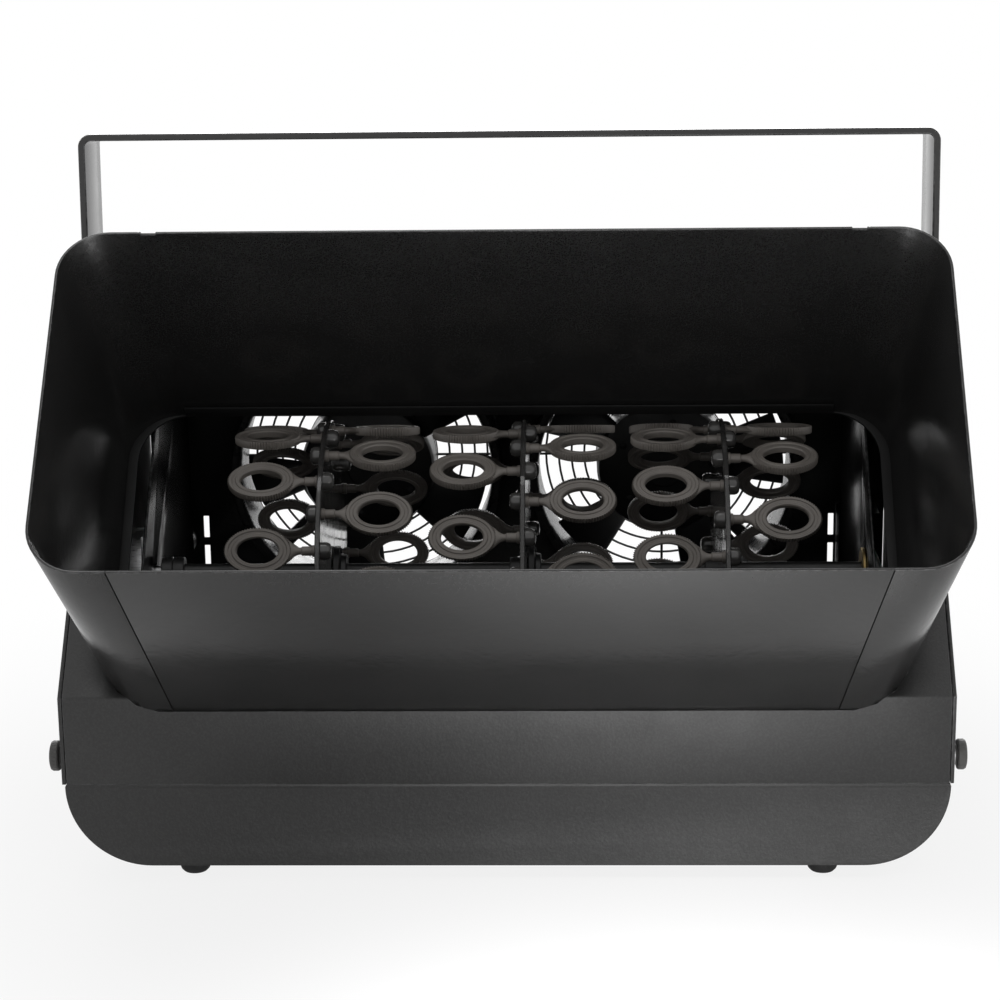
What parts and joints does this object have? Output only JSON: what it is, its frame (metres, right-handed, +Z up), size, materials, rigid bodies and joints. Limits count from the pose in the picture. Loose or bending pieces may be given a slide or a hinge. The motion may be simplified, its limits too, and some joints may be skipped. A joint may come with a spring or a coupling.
{
  "type": "bubble machine",
  "caption": "Black sheet-steel bubble machine with a flared hood, wand wheels on one shaft, axial fans behind them and a tilting yoke.",
  "frame": {"origin": "bottom centre of the machine's box, on the floor between the feet and under the middle of the depth from hood lip to drain plug", "axes": "+X to the machine's right seen from the front, +Y to its back, +Z up; the hood opens towards -Y and +Z"},
  "size_m": [0.5276, 0.4332, 0.3897],
  "materials": {
    "powder_coat": "fine textured black powder coat, satin",
    "rubber": "matt black rubber",
    "steel": "brushed",
    "guard_wire": "black plated wire",
    "brass": "turned",
    "cast_frame": "black painted casting",
    "black_plastic": "moulded black plastic",
    "disc_plastic": "smoked, wet and glossy",
    "wand_plastic": "grey-brown moulded plastic",
    "board": "green circuit board with black parts"
  },
  "bodies": {
    "housing": {"base_pan": "powder_coat", "cover_shell": "powder_coat", "side_panel_left": "powder_coat", "side_panel_right": "powder_coat", "rear_panel": "powder_coat", "throat_frame": "powder_coat", "hood_lower_panel": "powder_coat", "hood_upper_panel": "powder_coat", "hood_left_cheek": "powder_coat", "hood_right_cheek": "powder_coat", "inner_wall_left": "powder_coat", "inner_wall_right": "powder_coat", "foot_front_left": "rubber", "foot_front_right": "rubber", "foot_rear_left": "rubber", "foot_rear_right": "rubber", "fluid_tank": "steel", "drain_spigot": "brass", "shaft_bush": "brass", "drive_motor": "steel", "motor_bracket": "steel", "fan_left_frame": "cast_frame", "fan_right_frame": "cast_frame", "fan_left_guard": "guard_wire", "fan_right_guard": "guard_wire", "yoke_washer_left": "rubber", "yoke_washer_right": "rubber", "cover_screw_washer_left": "steel", "cover_screw_washer_right": "steel", "power_inlet": "black_plastic", "power_switch": "black_plastic", "remote_socket": "black_plastic", "control_board": "board"},
    "wand_wheels": {"wheel_shaft": "steel", "motor_shaft": "steel", "shaft_coupler": "steel", "wheel_hub_left": "black_plastic", "wheel_hub_middle": "black_plastic", "wheel_hub_right": "black_plastic", "wheel_disc_left": "disc_plastic", "wheel_disc_middle": "disc_plastic", "wheel_disc_right": "disc_plastic", "wands_left_wheel_left": "wand_plastic", "wands_left_wheel_right": "wand_plastic", "wands_middle_wheel_left": "wand_plastic", "wands_middle_wheel_right": "wand_plastic", "wands_right_wheel_left": "wand_plastic", "wands_right_wheel_right": "wand_plastic"},
    "fan_left_rotor": {"fan_left_impeller": "black_plastic"},
    "fan_right_rotor": {"fan_right_impeller": "black_plastic"},
    "yoke": {"yoke_bar": "powder_coat"},
    "yoke_lock_left": {"yoke_knob_left": "black_plastic"},
    "yoke_lock_right": {"yoke_knob_right": "black_plastic"},
    "cover_lock_left": {"cover_screw_left": "black_plastic"},
    "cover_lock_right": {"cover_screw_right": "black_plastic"},
    "rocker": {"switch_rocker": "black_plastic"},
    "fuse_carrier": {"fuse_drawer": "black_plastic"},
    "drain_closure": {"drain_plug": "black_plastic"}
  },
  "joints": [
    {"name": "wheel_spin", "type": "hinge", "parent": "housing", "child": "wand_wheels", "pos_m": [0, -0.01966, 0.1465], "axis": [1, 0, 0], "continuous": true},
    {"name": "fan_left_spin", "type": "hinge", "parent": "housing", "child": "fan_left_rotor", "pos_m": [-0.095, 0.17834, 0.16], "axis": [0, -1, 0], "continuous": true},
    {"name": "fan_right_spin", "type": "hinge", "parent": "housing", "child": "fan_right_rotor", "pos_m": [0.095, 0.17834, 0.16], "axis": [0, -1, 0], "continuous": true},
    {"name": "yoke_tilt", "type": "hinge", "parent": "housing", "child": "yoke", "pos_m": [0, 0.05704, 0.15], "axis": [1, 0, 0], "range_deg": [-100, 24]},
    {"name": "yoke_knob_left_turn", "type": "hinge", "parent": "housing", "child": "yoke_lock_left", "pos_m": [-0.2568, 0.05704, 0.15], "axis": [-1, 0, 0], "range_deg": [0, 720]},
    {"name": "yoke_knob_right_turn", "type": "hinge", "parent": "housing", "child": "yoke_lock_right", "pos_m": [0.2568, 0.05704, 0.15], "axis": [1, 0, 0], "range_deg": [0, 720]},
    {"name": "cover_screw_left_turn", "type": "hinge", "parent": "housing", "child": "cover_lock_left", "pos_m": [-0.247, -0.11766, 0.07], "axis": [-1, 0, 0], "range_deg": [0, 1080]},
    {"name": "cover_screw_right_turn", "type": "hinge", "parent": "housing", "child": "cover_lock_right", "pos_m": [0.247, -0.11766, 0.07], "axis": [1, 0, 0], "range_deg": [0, 1080]},
    {"name": "rocker_tip", "type": "hinge", "parent": "housing", "child": "rocker", "pos_m": [0.222, 0.19934, 0.168], "axis": [-1, 0, 0], "range_deg": [0, 16]},
    {"name": "fuse_drawer_slide", "type": "slide", "parent": "housing", "child": "fuse_carrier", "axis": [0, 1, 0], "range_m": [0, 0.016]},
    {"name": "drain_plug_turn", "type": "hinge", "parent": "housing", "child": "drain_closure", "pos_m": [-0.15, 0.21, 0.022], "axis": [0, 1, 0], "range_deg": [0, 1080]}
  ]
}
